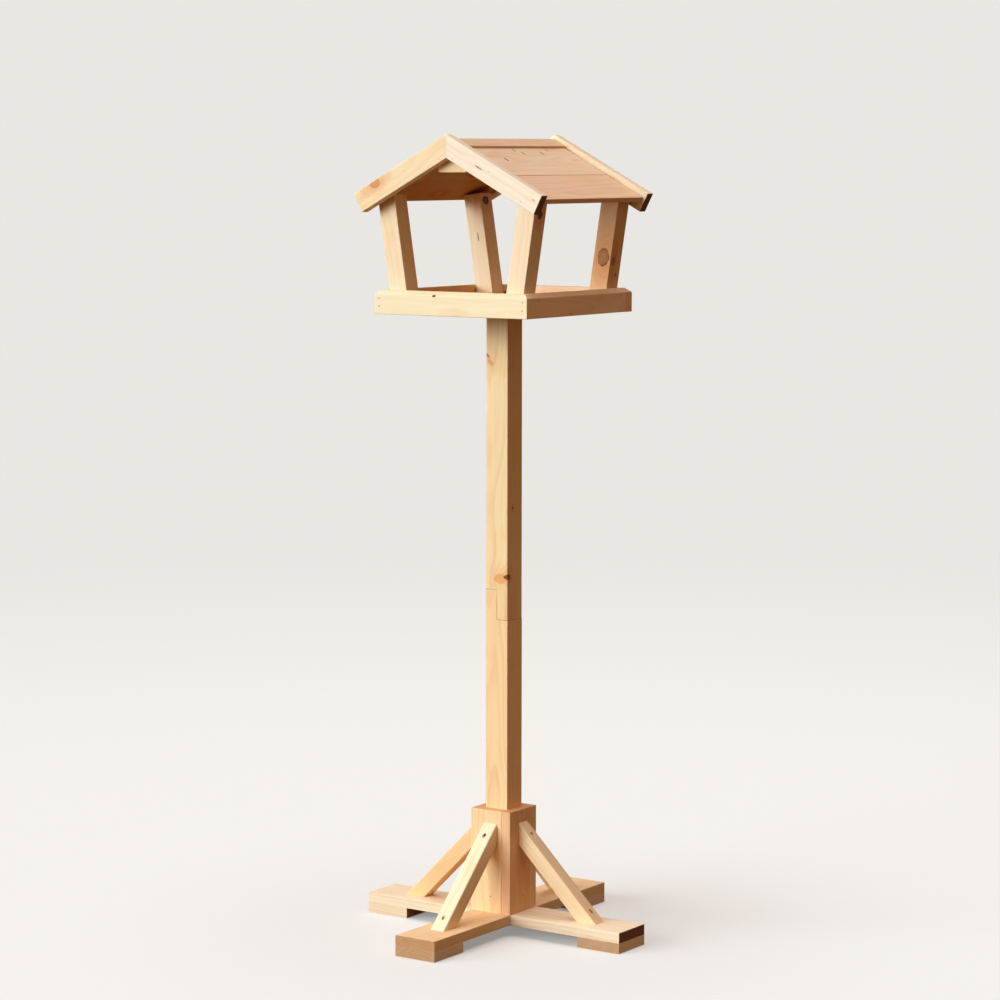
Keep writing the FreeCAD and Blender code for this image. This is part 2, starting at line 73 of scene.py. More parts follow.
# The sockets of a Mix node that are in use when it mixes colours.
MIX_INPUTS = (0, 6, 7)
MIX_OUTPUT = 2


class Net:
    """A node tree with short calls for the nodes that the materials are made of."""

    def __init__(self, tree):
        self.tree = tree

    def node(self, kind, inputs=None, **settings):
        made = self.tree.nodes.new(kind)
        for name, setting in settings.items():
            setattr(made, name, setting)
        for name, source in (inputs or {}).items():
            self.feed(made.inputs[name], source)
        return made

    def feed(self, socket, source):
        if isinstance(source, bpy.types.NodeSocket):
            self.tree.links.new(source, socket)
        else:
            socket.default_value = source

    def math(self, operation, *values):
        return self.node("ShaderNodeMath", dict(enumerate(values)), operation=operation).outputs[0]

    def total(self, first, *more):
        for value in more:
            first = self.math("ADD", first, value)
        return first

    def product(self, first, *more):
        for value in more:
            first = self.math("MULTIPLY", first, value)
        return first

    def vector(self, operation, *values):
        made = self.node("ShaderNodeVectorMath", dict(enumerate(values)), operation=operation)
        return made.outputs["Value" if operation in ("LENGTH", "DOT_PRODUCT") else "Vector"]

    def split(self, vector):
        return self.node("ShaderNodeSeparateXYZ", {0: vector}).outputs

    def join(self, x, y, z):
        return self.node("ShaderNodeCombineXYZ", {0: x, 1: y, 2: z}).outputs[0]

    def step(self, value, low, high):
        """0 at low, 1 at high and smooth between them, also where low is the greater."""
        made = self.node(
            "ShaderNodeMapRange", {0: value, 1: low, 2: high}, interpolation_type="SMOOTHSTEP")
        return made.outputs[0]

    def noise(self, place, frequency, detail=2.0, roughness=0.5, output="Fac"):
        """Noise with its own frequency along each axis, per millimetre."""
        made = self.node("ShaderNodeTexNoise", {
            "Vector": self.vector("MULTIPLY", place, frequency), "Scale": 1.0, "Detail": detail,
            "Roughness": roughness})
        return made.outputs[output]

    def swing(self, place, frequency, detail=2.0, roughness=0.5):
        """The same noise about nought."""
        return self.math("SUBTRACT", self.noise(place, frequency, detail, roughness), 0.5)

    def mix(self, share, first, second, blend="MIX"):
        """The first colour with a share of the second one blended in."""
        made = self.node("ShaderNodeMix", data_type="RGBA", blend_type=blend)
        for socket, source in zip(MIX_INPUTS, (share, first, second)):
            self.feed(made.inputs[socket], source)
        return made.outputs[MIX_OUTPUT]

    def place_in_mm(self):
        """The place on the piece, in its own axes."""
        place = self.node("ShaderNodeTexCoord").outputs["Object"]
        return self.vector("MULTIPLY", place, (1 / MM, 1 / MM, 1 / MM))


def new_material(name):
    """An empty material and its net."""
    material = bpy.data.materials.new(name)
    material.use_nodes = True
    material.node_tree.nodes.clear()
    return material, Net(material.node_tree)


def new_group(name, inputs, outputs):
    """A shader node group: its net, the sockets it is given and the sockets it fills."""
    tree = bpy.data.node_groups.new(name, "ShaderNodeTree")
    for direction, sockets in (("INPUT", inputs), ("OUTPUT", outputs)):
        for label, kind in sockets.items():
            tree.interface.new_socket(label, in_out=direction, socket_type="NodeSocket" + kind)
    net = Net(tree)
    return net, net.node("NodeGroupInput").outputs, net.node("NodeGroupOutput").inputs


# What a timber's knots add up to: the push on the rings, and where knot wood, halo and dark tone are.
MARK_SOCKETS = {"Push": "Float", "Knot": "Float", "Halo": "Float", "Tone": "Float"}

# A knot's ragged edge, the edges of its wood and of its halo, and its dark rim, in radii of the knot.
EDGE_WOBBLE = 0.55
KNOT_EDGE = (1.1, 0.88)
HALO_EDGE = (2.7, 0.8)
RIM_EDGE = (0.55, 0.98)
# The halo and the push reach further along the grain by this share, and the push fades by this power.
DRAWN_OUT = 0.55
PUSH_FADE = -0.55
# The knot's own rings: radians per radius, and how much and about which level they change its tone.
RING_WAVES, RING_SWING, RING_LEVEL = 15.0, 0.07, 0.52
RIM_TONE = 0.42


def build_knot_group():
    """One knot, or a streak where it is stretched or narrow along the grain, added to those before it.

    It starts below the surface at its depth and grows outwards along its axis. It pushes the growth rings
    aside, and a halo of darker wood lies round it. With no darkness it has no wood: its halo is a stain.
    """
    net, given, filled = new_group("knot", {
        "Place": "Vector", "Centre": "Vector", "Axis": "Vector", "Radius": "Float", "Stretch": "Float",
        "Depth": "Float", "Darkness": "Float", "Spread": "Float", **MARK_SOCKETS}, MARK_SOCKETS)
    away = net.vector("SUBTRACT", given["Place"], given["Centre"])
    outwards = net.vector("DOT_PRODUCT", away, given["Axis"])
    on_axis = net.node("ShaderNodeVectorMath", {0: given["Axis"], "Scale": outwards}, operation="SCALE")
    parts = net.split(net.vector("SUBTRACT", away, on_axis.outputs[0]))
    grainwise = net.math("DIVIDE", parts[0], given["Stretch"])
    near_reach = net.vector("LENGTH", net.join(grainwise, parts[1], parts[2]))
    wobble = net.product(net.swing(given["Place"], (0.16, 0.3, 0.3), 3.0), EDGE_WOBBLE)
    reach = net.total(net.math("DIVIDE", near_reach, given["Radius"]), wobble)
    drawn_out = net.join(net.product(grainwise, DRAWN_OUT), parts[1], parts[2])
    far_reach = net.math("DIVIDE", net.vector("LENGTH", drawn_out), given["Radius"])

    started = net.step(net.total(outwards, given["Depth"]), -3.0, 1.0)
    wood = net.product(started, net.math("GREATER_THAN", given["Darkness"], 0.0))
    inside = net.product(net.step(reach, *KNOT_EDGE), wood)
    halo = net.product(net.step(far_reach, *HALO_EDGE), started, given["Spread"])
    bulge = net.math("POWER", math.e, net.product(far_reach, far_reach, PUSH_FADE))
    push = net.product(given["Radius"], bulge, given["Spread"], wood)

    waves = net.math("SINE", net.product(reach, RING_WAVES))
    rings = net.math("MULTIPLY_ADD", waves, RING_SWING, RING_LEVEL)
    bark = net.step(net.noise(given["Place"], (0.05, 0.05, 0.05), 2.0), 0.25, 0.70)
    rim = net.product(net.step(reach, *RIM_EDGE), bark, RIM_TONE)
    tone = net.product(net.total(rim, rings), given["Darkness"], inside)

    net.feed(filled["Push"], net.total(given["Push"], push))
    net.feed(filled["Knot"], net.math("MAXIMUM", given["Knot"], inside))
    net.feed(filled["Halo"], net.math("MAXIMUM", given["Halo"], halo))
    net.feed(filled["Tone"], net.math("MAXIMUM", given["Tone"], tone))
    return net.tree


# How far, in millimetres, the pith wanders and the rings ripple along a timber.
PITH_WANDER = 26.0
RING_RIPPLE = 2.6
# The late wood of a year, as shares of the ring: where it darkens, and where it ends at once.
LATE_RISE, LATE_END = (0.30, 0.88), (1.0, 0.93)
# A year's late wood is at least this strong, and up to this much stronger.
LEAST_YEAR, YEAR_RANGE = 0.35, 0.65
# What each feature adds to the darkness of the wood.
FIBRE_TONE, BAND_TONE, END_TONE, BASE_TONE = 0.30, 1.6, 0.10, 0.08
# How much stronger the rings show in end grain.
END_RINGS = 2.2
# The heartwood's ragged edge and how softly it ends, in millimetres, and how strongly it shows.
HEART_RAGGED, HEART_SOFT, HEART_SHARE = 30.0, 14.0, 0.65
# The pale patches, the halos round knots, and the lightened arrises, which are partly rubbed wear and
# partly a painted highlight: their shares and colours.
PATCH_SHARE, HALO_SHARE, ARRIS_RUB_AND_HIGHLIGHT_SHARE = 0.55, 0.55, 0.18
PATCH, HALO, ARRIS_RUB_AND_HIGHLIGHT = srgb(252, 230, 202), srgb(236, 182, 128), srgb(255, 240, 214)
KNOT_PALE, KNOT_DARK = srgb(246, 172, 104), srgb(88, 36, 12)
# The colour of the painted shade in the joints.
SEAM_SHADE = srgb(112, 66, 36)
# The distances from an arris, in millimetres, between which the lightening, partly rubbed wear and partly
# a painted highlight, begins and is full.
ARRIS_RUB_AND_HIGHLIGHT_EDGE = (2.4, 0.3)


def build_pine_group():
    """Planed pine round a pith that runs along local X, with rings, fibres, bands, end grain and knots."""
    net, given, filled = new_group("pine", {
        "Place": "Vector", "Half": "Vector", "Pith": "Vector", "Seed": "Vector", "Ring": "Float",
        "Contrast": "Float", "Light": "Color", "Dark": "Color", "Heart": "Color", "Heart radius": "Float",
        "Sawn tone and shade": "Color", "Underside shade": "Color", "Seam": "Vector", **MARK_SOCKETS},
        {"Color": "Color", "Roughness": "Float", "Height": "Float"})
    place = given["Place"]
    seeded = net.vector("ADD", place, given["Seed"])
    wander = net.noise(seeded, (0.0032, 0.007, 0.007), 2.0, 0.45, "Color")
    wander = net.vector("SUBTRACT", wander, (0.5, 0.5, 0.5))
    bent = net.vector("ADD", place, net.vector("MULTIPLY", wander, (0.0, PITH_WANDER, PITH_WANDER)))
    parts = net.split(net.vector("SUBTRACT", bent, given["Pith"]))
    from_pith = net.vector("LENGTH", net.join(0.0, parts[1], parts[2]))
    ripple = net.product(net.swing(seeded, (0.02, 0.09, 0.09), 3.0), RING_RIPPLE)
    years = net.math("DIVIDE", net.total(from_pith, given["Push"], ripple), given["Ring"])
    season = net.math("FRACT", years)
    year = net.node("ShaderNodeTexWhiteNoise", {"W": net.math("FLOOR", years)}, noise_dimensions="1D")
    strength = net.math("MULTIPLY_ADD", year.outputs["Value"], YEAR_RANGE, LEAST_YEAR)
    late = net.product(net.step(season, *LATE_RISE), net.step(season, *LATE_END), strength)
    fibre = net.swing(seeded, (0.03, 1.1, 1.1), 4.0, 0.6)
    band = net.swing(seeded, (0.0045, 0.10, 0.10), 3.0, 0.55)
    patch = net.swing(seeded, (0.010, 0.028, 0.028), 2.0)
    facing = net.split(net.node("ShaderNodeTexCoord").outputs["Normal"])
    end = net.step(net.math("ABSOLUTE", facing[0]), 0.45, 0.85)
    underside_shade = net.step(facing[2], -0.45, -0.85)
    planed = net.math("SUBTRACT", 1.0, end)

    ringed = net.product(late, given["Contrast"], net.math("MULTIPLY_ADD", end, END_RINGS, 1.0))
    bands = net.product(band, given["Contrast"], BAND_TONE)
    fibres = net.product(fibre, FIBRE_TONE)
    grain = net.total(ringed, fibres, bands, net.product(end, END_TONE), BASE_TONE)
    colour = net.mix(net.node("ShaderNodeClamp", {0: grain}).outputs[0], given["Light"], given["Dark"])
    ragged = net.total(from_pith, net.product(patch, HEART_RAGGED))
    heart = net.step(net.math("SUBTRACT", ragged, given["Heart radius"]), HEART_SOFT, -HEART_SOFT)
    colour = net.mix(net.product(heart, HEART_SHARE), colour, given["Heart"], "MULTIPLY")
    patches = net.product(net.step(patch, 0.02, 0.30), PATCH_SHARE)
    colour = net.mix(patches, colour, PATCH, "MULTIPLY")
    # The sawn ends take their own darker tone, with painted shade on some timbers.
    colour = net.mix(end, colour, given["Sawn tone and shade"], "MULTIPLY")
    # Painted shade on the faces that point down.
    colour = net.mix(underside_shade, colour, given["Underside shade"], "MULTIPLY")
    colour = net.mix(net.product(given["Halo"], HALO_SHARE), colour, HALO, "MULTIPLY")
    colour = net.mix(given["Knot"], colour, net.mix(given["Tone"], KNOT_PALE, KNOT_DARK))

    # The distance to the nearest arris: of the three distances to the sides, one is nought on a face.
    room = net.vector("SUBTRACT", given["Half"], net.vector("ABSOLUTE", place))
    sides = net.split(net.vector("MAXIMUM", room, (0.0, 0.0, 0.0)))
    most = net.math("MAXIMUM", net.math("MAXIMUM", sides[0], sides[1]), sides[2])
    near_arris = net.math("SUBTRACT", net.total(sides[0], sides[1], sides[2]), most)
    # The arrises are lightened: partly rubbed wear, partly a painted highlight along the rounded edges.
    rub_and_highlight_patches = net.step(net.noise(seeded, (0.03, 0.2, 0.2)), 0.35, 0.6)
    rub_and_highlight = net.product(net.step(near_arris, *ARRIS_RUB_AND_HIGHLIGHT_EDGE), rub_and_highlight_patches, planed)
    colour = net.mix(net.product(rub_and_highlight, ARRIS_RUB_AND_HIGHLIGHT_SHARE), colour, ARRIS_RUB_AND_HIGHLIGHT, "SCREEN")
    # Painted shade in the joints: a dark line along the sawn ends and sides that the table names.
    end_seam, long_seam, seam_width = net.split(given["Seam"])
    half_width = net.product(seam_width, 0.4)
    end_line = net.product(net.step(sides[0], seam_width, half_width), end_seam)
    long_line = net.product(net.step(sides[1], seam_width, half_width), long_seam)
    colour = net.mix(net.math("MAXIMUM", end_line, long_line), colour, SEAM_SHADE, "MULTIPLY")

    rough = net.total(0.62, net.product(fibre, 0.28), net.product(late, -0.12), net.product(end, 0.15))
    relief = net.total(
        net.product(late, 0.35), net.product(fibre, 0.5), net.product(given["Knot"], 0.5))
    net.feed(filled["Color"], colour)
    net.feed(filled["Roughness"], rough)
    net.feed(filled["Height"], relief)
    return net.tree


KNOT_GROUP = build_knot_group()
PINE_GROUP = build_pine_group()

# Camera, light and floor

# The viewpoint fitted to the photograph, in radians, metres, pixels and millimetres of sensor.
YAW, PITCH, ROLL = 0.600895, 0.110194, -0.001178
CAMERA_DISTANCE, CAMERA_HEIGHT, CAMERA_SIDE_STEP = 5.44039, 1.34912, 0.00707
FOCAL_PIXELS, FRAME_PIXELS, SENSOR_MM = 3166.37, 1000, 36.0

BACKGROUND = srgb(233, 231, 227)
FLOOR = srgb(212, 216, 214)
FLOOR_GLOW = 0.30
# The light that reaches the object from all round, and back from the floor.
WARM_FILL = (0.27, 0.14, 0.065, 1.0)
FLOOR_BOUNCE = (0.14, 0.072, 0.028, 1.0)


def add_camera():
    """The camera at the photograph's viewing angle."""
    ahead = Vector((-math.sin(YAW) * math.cos(PITCH), math.cos(YAW) * math.cos(PITCH), -math.sin(PITCH)))
    level_right = Vector((math.cos(YAW), math.sin(YAW), 0))
    level_up = level_right.cross(ahead)
    right = level_right * math.cos(ROLL) - level_up * math.sin(ROLL)
    up = level_up * math.cos(ROLL) + level_right * math.sin(ROLL)
    place = Vector((math.sin(YAW), -math.cos(YAW), 0)) * math.cos(PITCH) * CAMERA_DISTANCE
    place -= level_right * CAMERA_SIDE_STEP
    place.z = CAMERA_HEIGHT
    data = bpy.data.cameras.new("camera")
    data.sensor_width = SENSOR_MM
    data.lens = FOCAL_PIXELS / FRAME_PIXELS * SENSOR_MM
    camera = bpy.data.objects.new("camera", data)
    camera.matrix_world = Matrix.Translation(place) @ Matrix((right, up, -ahead)).transposed().to_4x4()
    bpy.context.scene.collection.objects.link(camera)
    bpy.context.scene.camera = camera


def add_lamp(name, left, height, level, width, colour):
    """A broad lamp far away, set by its angles left of the front and over the ground, in degrees."""
    left, height = math.radians(left), math.radians(height)
    data = bpy.data.lights.new(name, "SUN")
    data.energy = level * math.pi
    data.angle = math.radians(width)
    data.color = colour
    lamp = bpy.data.objects.new(name, data)
    lamp.rotation_mode = "QUATERNION"
    level_part = math.cos(height)
    towards = Vector((-math.sin(left) * level_part, -math.cos(left) * level_part, math.sin(height)))
    lamp.rotation_quaternion = towards.to_track_quat("Z", "Y")
    bpy.context.scene.collection.objects.link(lamp)


def add_fill():
    """A weak warm world, which shows as the plain background."""
    world = bpy.data.worlds.new("studio")
    world.use_nodes = True
    world.node_tree.nodes.clear()
    net = Net(world.node_tree)
    light = net.node("ShaderNodeBackground", {"Color": WARM_FILL, "Strength": 1.0})
    seen = net.node("ShaderNodeBackground", {"Color": BACKGROUND, "Strength": 1.0})
    path = net.node("ShaderNodeLightPath").outputs
    shown = net.math("MAXIMUM", path["Is Camera Ray"], path["Is Glossy Ray"])
    both = net.node("ShaderNodeMixShader", {0: shown, 1: light.outputs[0], 2: seen.outputs[0]})
    net.node("ShaderNodeOutputWorld", {"Surface": both.outputs[0]})
    bpy.context.scene.world = world


def add_floor(radius=40.0, fade_from=1.2, fade_to=5.5):
    """A pale floor that takes the object's shadow and fades into the background with distance from it."""
    shape = bmesh.new()
    bmesh.ops.create_circle(shape, cap_ends=True, segments=96, radius=radius)
    mesh = bpy.data.meshes.new("floor")
    shape.to_mesh(mesh)
    shape.free()
    floor = bpy.data.objects.new("floor", mesh)
    bpy.context.scene.collection.objects.link(floor)
    material, net = new_material("pale_floor")
    place = net.node("ShaderNodeTexCoord").outputs["Object"]
    away = net.step(net.vector("LENGTH", place), fade_from, fade_to)
    camera = net.node("ShaderNodeLightPath").outputs["Is Camera Ray"]
    matt = net.node("ShaderNodeBsdfDiffuse", {"Color": net.mix(camera, FLOOR_BOUNCE, FLOOR)})
    glow_level = net.product(camera, FLOOR_GLOW)
    glow = net.node("ShaderNodeEmission", {"Color": BACKGROUND, "Strength": glow_level})
    near = net.node("ShaderNodeAddShader", {0: matt.outputs[0], 1: glow.outputs[0]})
    far_colour = net.mix(camera, FLOOR_BOUNCE, BACKGROUND)
    far = net.node("ShaderNodeEmission", {"Color": far_colour, "Strength": 1.0})
    both = net.node("ShaderNodeMixShader", {0: away, 1: near.outputs[0], 2: far.outputs[0]})
    net.node("ShaderNodeOutputMaterial", {"Surface": both.outputs[0]})
    mesh.materials.append(material)


add_camera()
add_lamp("key", left=14, height=18.5, level=0.50, width=31, colour=linear(238, 250, 255))
add_lamp("left_key", left=42, height=14.5, level=0.61, width=34, colour=linear(238, 250, 255))
add_lamp("overhead", left=0, height=90, level=0.54, width=50, colour=linear(244, 246, 255))
add_fill()
add_floor()

# Timbers

OUTWARD = {"right": X, "back": Y, "left": -X, "front": -Y}


def side_of(node):
    """The side of the post that a node is named after."""
    return OUTWARD[node.rsplit("_", 1)[1]]


def leaning(node):
    """The length and the face direction of a corner post."""
    return side_of(node) * math.sin(CORNER_SPLAY) + Z * math.cos(CORNER_SPLAY), -Y


def gable(node):
    """The length and the face direction of a barge board or rafter, down its slope."""
    return side_of(node) * math.cos(ROOF_PITCH) - Z * math.sin(ROOF_PITCH), -Y if "front" in node else Y


def slope_board(node):
    """The length and the face direction of a roof board or ridge strip."""
    return Y, side_of(node) * math.sin(ROOF_PITCH) + Z * math.cos(ROOF_PITCH)


def socket_board(node):
    """The length and the face direction of a board of the socket box."""
    return Z, side_of(node)


def brace(node):
    """The length and the face direction of a diagonal brace, down to the foot."""
    return (side_of(node) * math.cos(BRACE_SLOPE) - Z * math.sin(BRACE_SLOPE),
            side_of(node) * math.sin(BRACE_SLOPE) + Z * math.cos(BRACE_SLOPE))


# Each kind of timber: its node names, and the first part of its material's name, long arris and length and
# face directions.
KINDS = {
    "foot_board_across": ("pine_foot", 0.8, (X, Z)),
    "foot_board_along": ("pine_foot", 0.8, (Y, Z)),
    "foot_pad_left": ("pine_foot", 0.35, (X, Z)),
    "foot_pad_": ("pine_foot", 0.35, (Y, Z)),
    "socket_board_": ("pine_foot", 1.0, socket_board),
    "brace_": ("pine_foot", 2.4, brace),
    "lower_post": ("pine_post", 1.9, (Z, -Y)),
    "upper_post": ("pine_post", 1.9, (Z, -Y)),
    "rim_front": ("pine_tray", 1.2, (X, -Y)),
    "rim_back": ("pine_tray", 1.2, (X, Y)),
    "rim_left": ("pine_tray", 1.2, (Y, -X)),
    "rim_right": ("pine_tray", 1.2, (Y, X)),
    "floor_board_": ("pine_tray", 0.8, (Y, Z)),
    "tray_bearer_": ("pine_tray", 0.8, (X, Y)),
    "corner_post_": ("pine_tray", 1.4, leaning),
    "ridge_beam": ("pine_roof", 0.8, (Y, Z)),
    "barge_board_": ("pine_roof", 1.2, gable),
    "gable_rafter_": ("pine_roof", 0.6, gable),
    "roof_board_": ("pine_roof", 0.7, slope_board),
    "ridge_strip_": ("pine_roof", 0.7, slope_board),
}
# The small arris of the sawn ends, in millimetres like the long ones, and the steps that round each kind.
SAWN_ARRIS = 0.2
LONG_STEPS, SAWN_STEPS = 3, 2
# The timbers are cut into lengths of about this, and their faces sink by up to this much.
CUT_SPACING = 14 * MM
WAVINESS = 0.22 * MM
# How often the waves come along and across a timber, per metre.
WAVES = Vector((22, 9, 9))
# Points this near are one, faces this little apart in angle are one plane, and edges under the last
# angle are shaded smooth.
WELD = 0.002 * MM
FLAT = math.radians(0.5)
SMOOTH_UNDER = math.radians(35)


def board_frame(node, directions):
    """A timber's own axes: X along the grain, Z out of its face, and the origin at its middle."""
    along, face = directions(node) if callable(directions) else directions
    low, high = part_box(node)
    turn = Matrix((along, face.cross(along), face)).transposed().to_4x4()
    return Matrix.Translation((low + high) / 2) @ turn


def arrises(shape, least_area=25 * MM * MM, least_angle=math.radians(33), least_share=0.97):
    """The edges between two broad faces, long ones and sawn ones apart, without those of drilled holes."""
    long_edges, sawn_edges = [], []
    for edge in shape.edges:
        if (len(edge.link_faces) == 2 and edge.is_convex and edge.calc_face_angle(0) > least_angle
                and min(face.calc_area() for face in edge.link_faces) > least_area):
            along = (edge.verts[0].co - edge.verts[1].co).normalized()
            (long_edges if abs(along.x) > least_share else sawn_edges).append(edge)
    return long_edges, sawn_edges


def timber_mesh(node, to_local, arris):
    """The node's solid in the timber's own axes, with eased arrises, in short lengths, slightly wavy."""
    shape = bmesh.new()
    shape.from_mesh(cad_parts[node].data)
    bmesh.ops.transform(shape, matrix=to_local, verts=shape.verts)
    bmesh.ops.remove_doubles(shape, verts=shape.verts, dist=WELD)
    bmesh.ops.dissolve_limit(shape, angle_limit=FLAT, verts=shape.verts, edges=shape.edges)
    for which, (offset, segments) in enumerate(((arris, LONG_STEPS), (SAWN_ARRIS, SAWN_STEPS))):
        bmesh.ops.bevel(shape, geom=arrises(shape)[which], offset=offset * MM, offset_type="OFFSET",
                        segments=segments, profile=0.5, affect="EDGES", clamp_overlap=True)
    reach = [v.co.x for v in shape.verts]
    first, last = min(reach), max(reach)
    cuts = int((last - first) / CUT_SPACING)
    for cut in range(1, cuts):
        place = (first + (last - first) * cut / cuts, 0, 0)
        everything = shape.verts[:] + shape.edges[:] + shape.faces[:]
        bmesh.ops.bisect_plane(
            shape, geom=everything, dist=WELD / 2, plane_co=place, plane_no=(1, 0, 0))
    # Each timber has its own stretch of the noise, which follows from its name and length.
    drift = Vector((len(node) * 1.7, cuts * 0.9, first * 40))
    for vert in shape.verts:
        share = 0.5 + 0.5 * noise.noise(vert.co * WAVES + drift)
        across = Vector((0, vert.co.y, vert.co.z))
        if across.length > 1 * MM:
            vert.co -= across.normalized() * share * WAVINESS
    for edge in shape.edges:
        edge.smooth = len(edge.link_faces) == 2 and edge.calc_face_angle(0) < SMOOTH_UNDER
    for face in shape.faces:
        face.smooth = True
    mesh = bpy.data.meshes.new(node + "_timber")
    shape.to_mesh(mesh)
    shape.free()
    return mesh


# The pale colour of each timber between its growth rings. The back right corner post is darker here,
# painted shade standing in for the roof's shadow on its front, and the foot board across is paler, painted
# light for the brighter light on its faces.
PALE_TONE_AND_PAINTED_LIGHT = {
    "socket_board_right": (240, 194, 146), "socket_board_front": (250, 215, 164),
    "socket_board_": (247, 206, 152),
    "brace_front": (251, 233, 196), "brace_left": (248, 207, 152), "brace_": (250, 220, 176),
    "foot_board_along": (249, 214, 164), "foot_board_across": (254, 234, 202),
    "foot_pad_": (249, 224, 188),
    "lower_post": (251, 213, 160), "upper_post": (251, 222, 172),
    "rim_front": (251, 233, 194), "rim_back": (249, 216, 178), "rim_left": (246, 202, 148),
    "rim_right": (248, 212, 166), "floor_board_": (246, 212, 170),
    "corner_post_back_right": (234, 194, 144), "corner_post_": (252, 227, 190),
    "barge_board_front_right": (251, 235, 210), "barge_board_front_left": (250, 224, 180),
    "barge_board_back_": (253, 238, 206),
    "roof_board_upper_": (250, 222, 187), "roof_board_eave_": (248, 212, 172),
    "ridge_strip_": (238, 204, 166), "ridge_beam": (251, 226, 184),
    "": (249, 218, 176),
}
# The dark bands of the growth rings, as shares of the pale colour, and the colour of the heartwood.
LATE_WOOD = (0.78, 0.60, 0.46)
HEART = srgb(248, 216, 172)
HEART_RADIUS = 20.0
# How strongly the growth rings show.
GRAIN = {
    "rim_front": 0.18, "barge_": 0.24, "corner_post_": 0.20, "roof_board_": 0.40, "ridge_beam": 0.10,
    "": 0.32,
}
# What darkens the sawn ends: the end grain's own tone, and on the foot board across and the barge boards a
# much darker colour, painted shade standing in for the deep shade on those ends.
SAWN_TONE_AND_SHADE = {
    "rim_": (255, 242, 226), "socket_board_": (238, 226, 216), "ridge_beam": (252, 248, 240),
    "foot_board_across": (122, 94, 72), "barge_board_": (122, 92, 72),
    "foot_pad_right": (214, 198, 184), "": (210, 192, 180),
}

# Painted shade: what darkens the faces that point down, standing in for the shade under the roof.
UNDERSIDE_SHADE = {"roof_board_": (206, 172, 104), "": (255, 255, 255)}

# Painted shade in a joint, a dark line standing in for the shadow in the gap: its strength at the sawn
# ends and along the sides, and its width.
SEAM_SHADES = {
    "upper_post": (0.65, 0.0, 1.3), "lower_post": (0.5, 0.0, 1.3),
    "roof_board_upper_": (0.6, 0.55, 2.0), "roof_board_eave_": (0.6, 0.0, 2.0),
    "gable_rafter_": (0.0, 0.75, 2.5), "": (0.0, 0.0, 1.0),
}

# The direction in which the scar on the upper post points out.
SCAR = Vector((-0.72, -0.35, 0.60))
